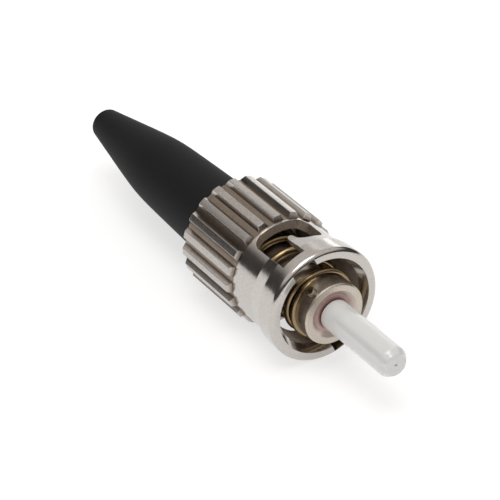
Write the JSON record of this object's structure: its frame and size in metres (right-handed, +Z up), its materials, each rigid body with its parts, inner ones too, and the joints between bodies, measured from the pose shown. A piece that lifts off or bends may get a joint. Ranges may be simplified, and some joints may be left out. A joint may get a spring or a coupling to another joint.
{
  "type": "st fibre connector",
  "caption": "Bayonet fibre-optic plug with a long white ceramic ferrule, a ribbed metal coupling nut over a coil spring, and a slim tapered black boot.",
  "frame": {"origin": "on the plug's axis, in the plane of the barrel's front face, where the ferrule starts to stand out", "axes": "+X along the axis, from the boot towards the ferrule's tip; +Z up with the plug lying on the ribs of its coupling nut; the nut turns about +X to lock"},
  "size_m": [0.0433, 0.0098, 0.0098],
  "materials": {
    "ceramic": "polished",
    "nickel": "bright nickel plate",
    "steel": "satin",
    "spring_steel": "satin",
    "plated_nut": "bright nickel plate",
    "boot_rubber": "matt"
  },
  "bodies": {
    "plug": {"barrel": "nickel", "ferrule": "ceramic", "key_pin": "steel", "coil_spring": "spring_steel", "retaining_clip": "steel", "backpost": "nickel", "boot": "boot_rubber"},
    "washer": {"spring_washer": "steel"},
    "nut": {"coupling_nut": "plated_nut"}
  },
  "joints": [
    {"name": "nut_slide", "type": "slide", "parent": "plug", "child": "washer", "axis": [1, 0, 0], "range_m": [0, 0.0022], "stiffness_N_per_m": 2000, "springref_m": -0.003, "deforming": ["coil_spring"]},
    {"name": "nut_turn", "type": "hinge", "parent": "washer", "child": "nut", "pos_m": [-0.011, 0, 0], "axis": [1, 0, 0], "continuous": true}
  ]
}
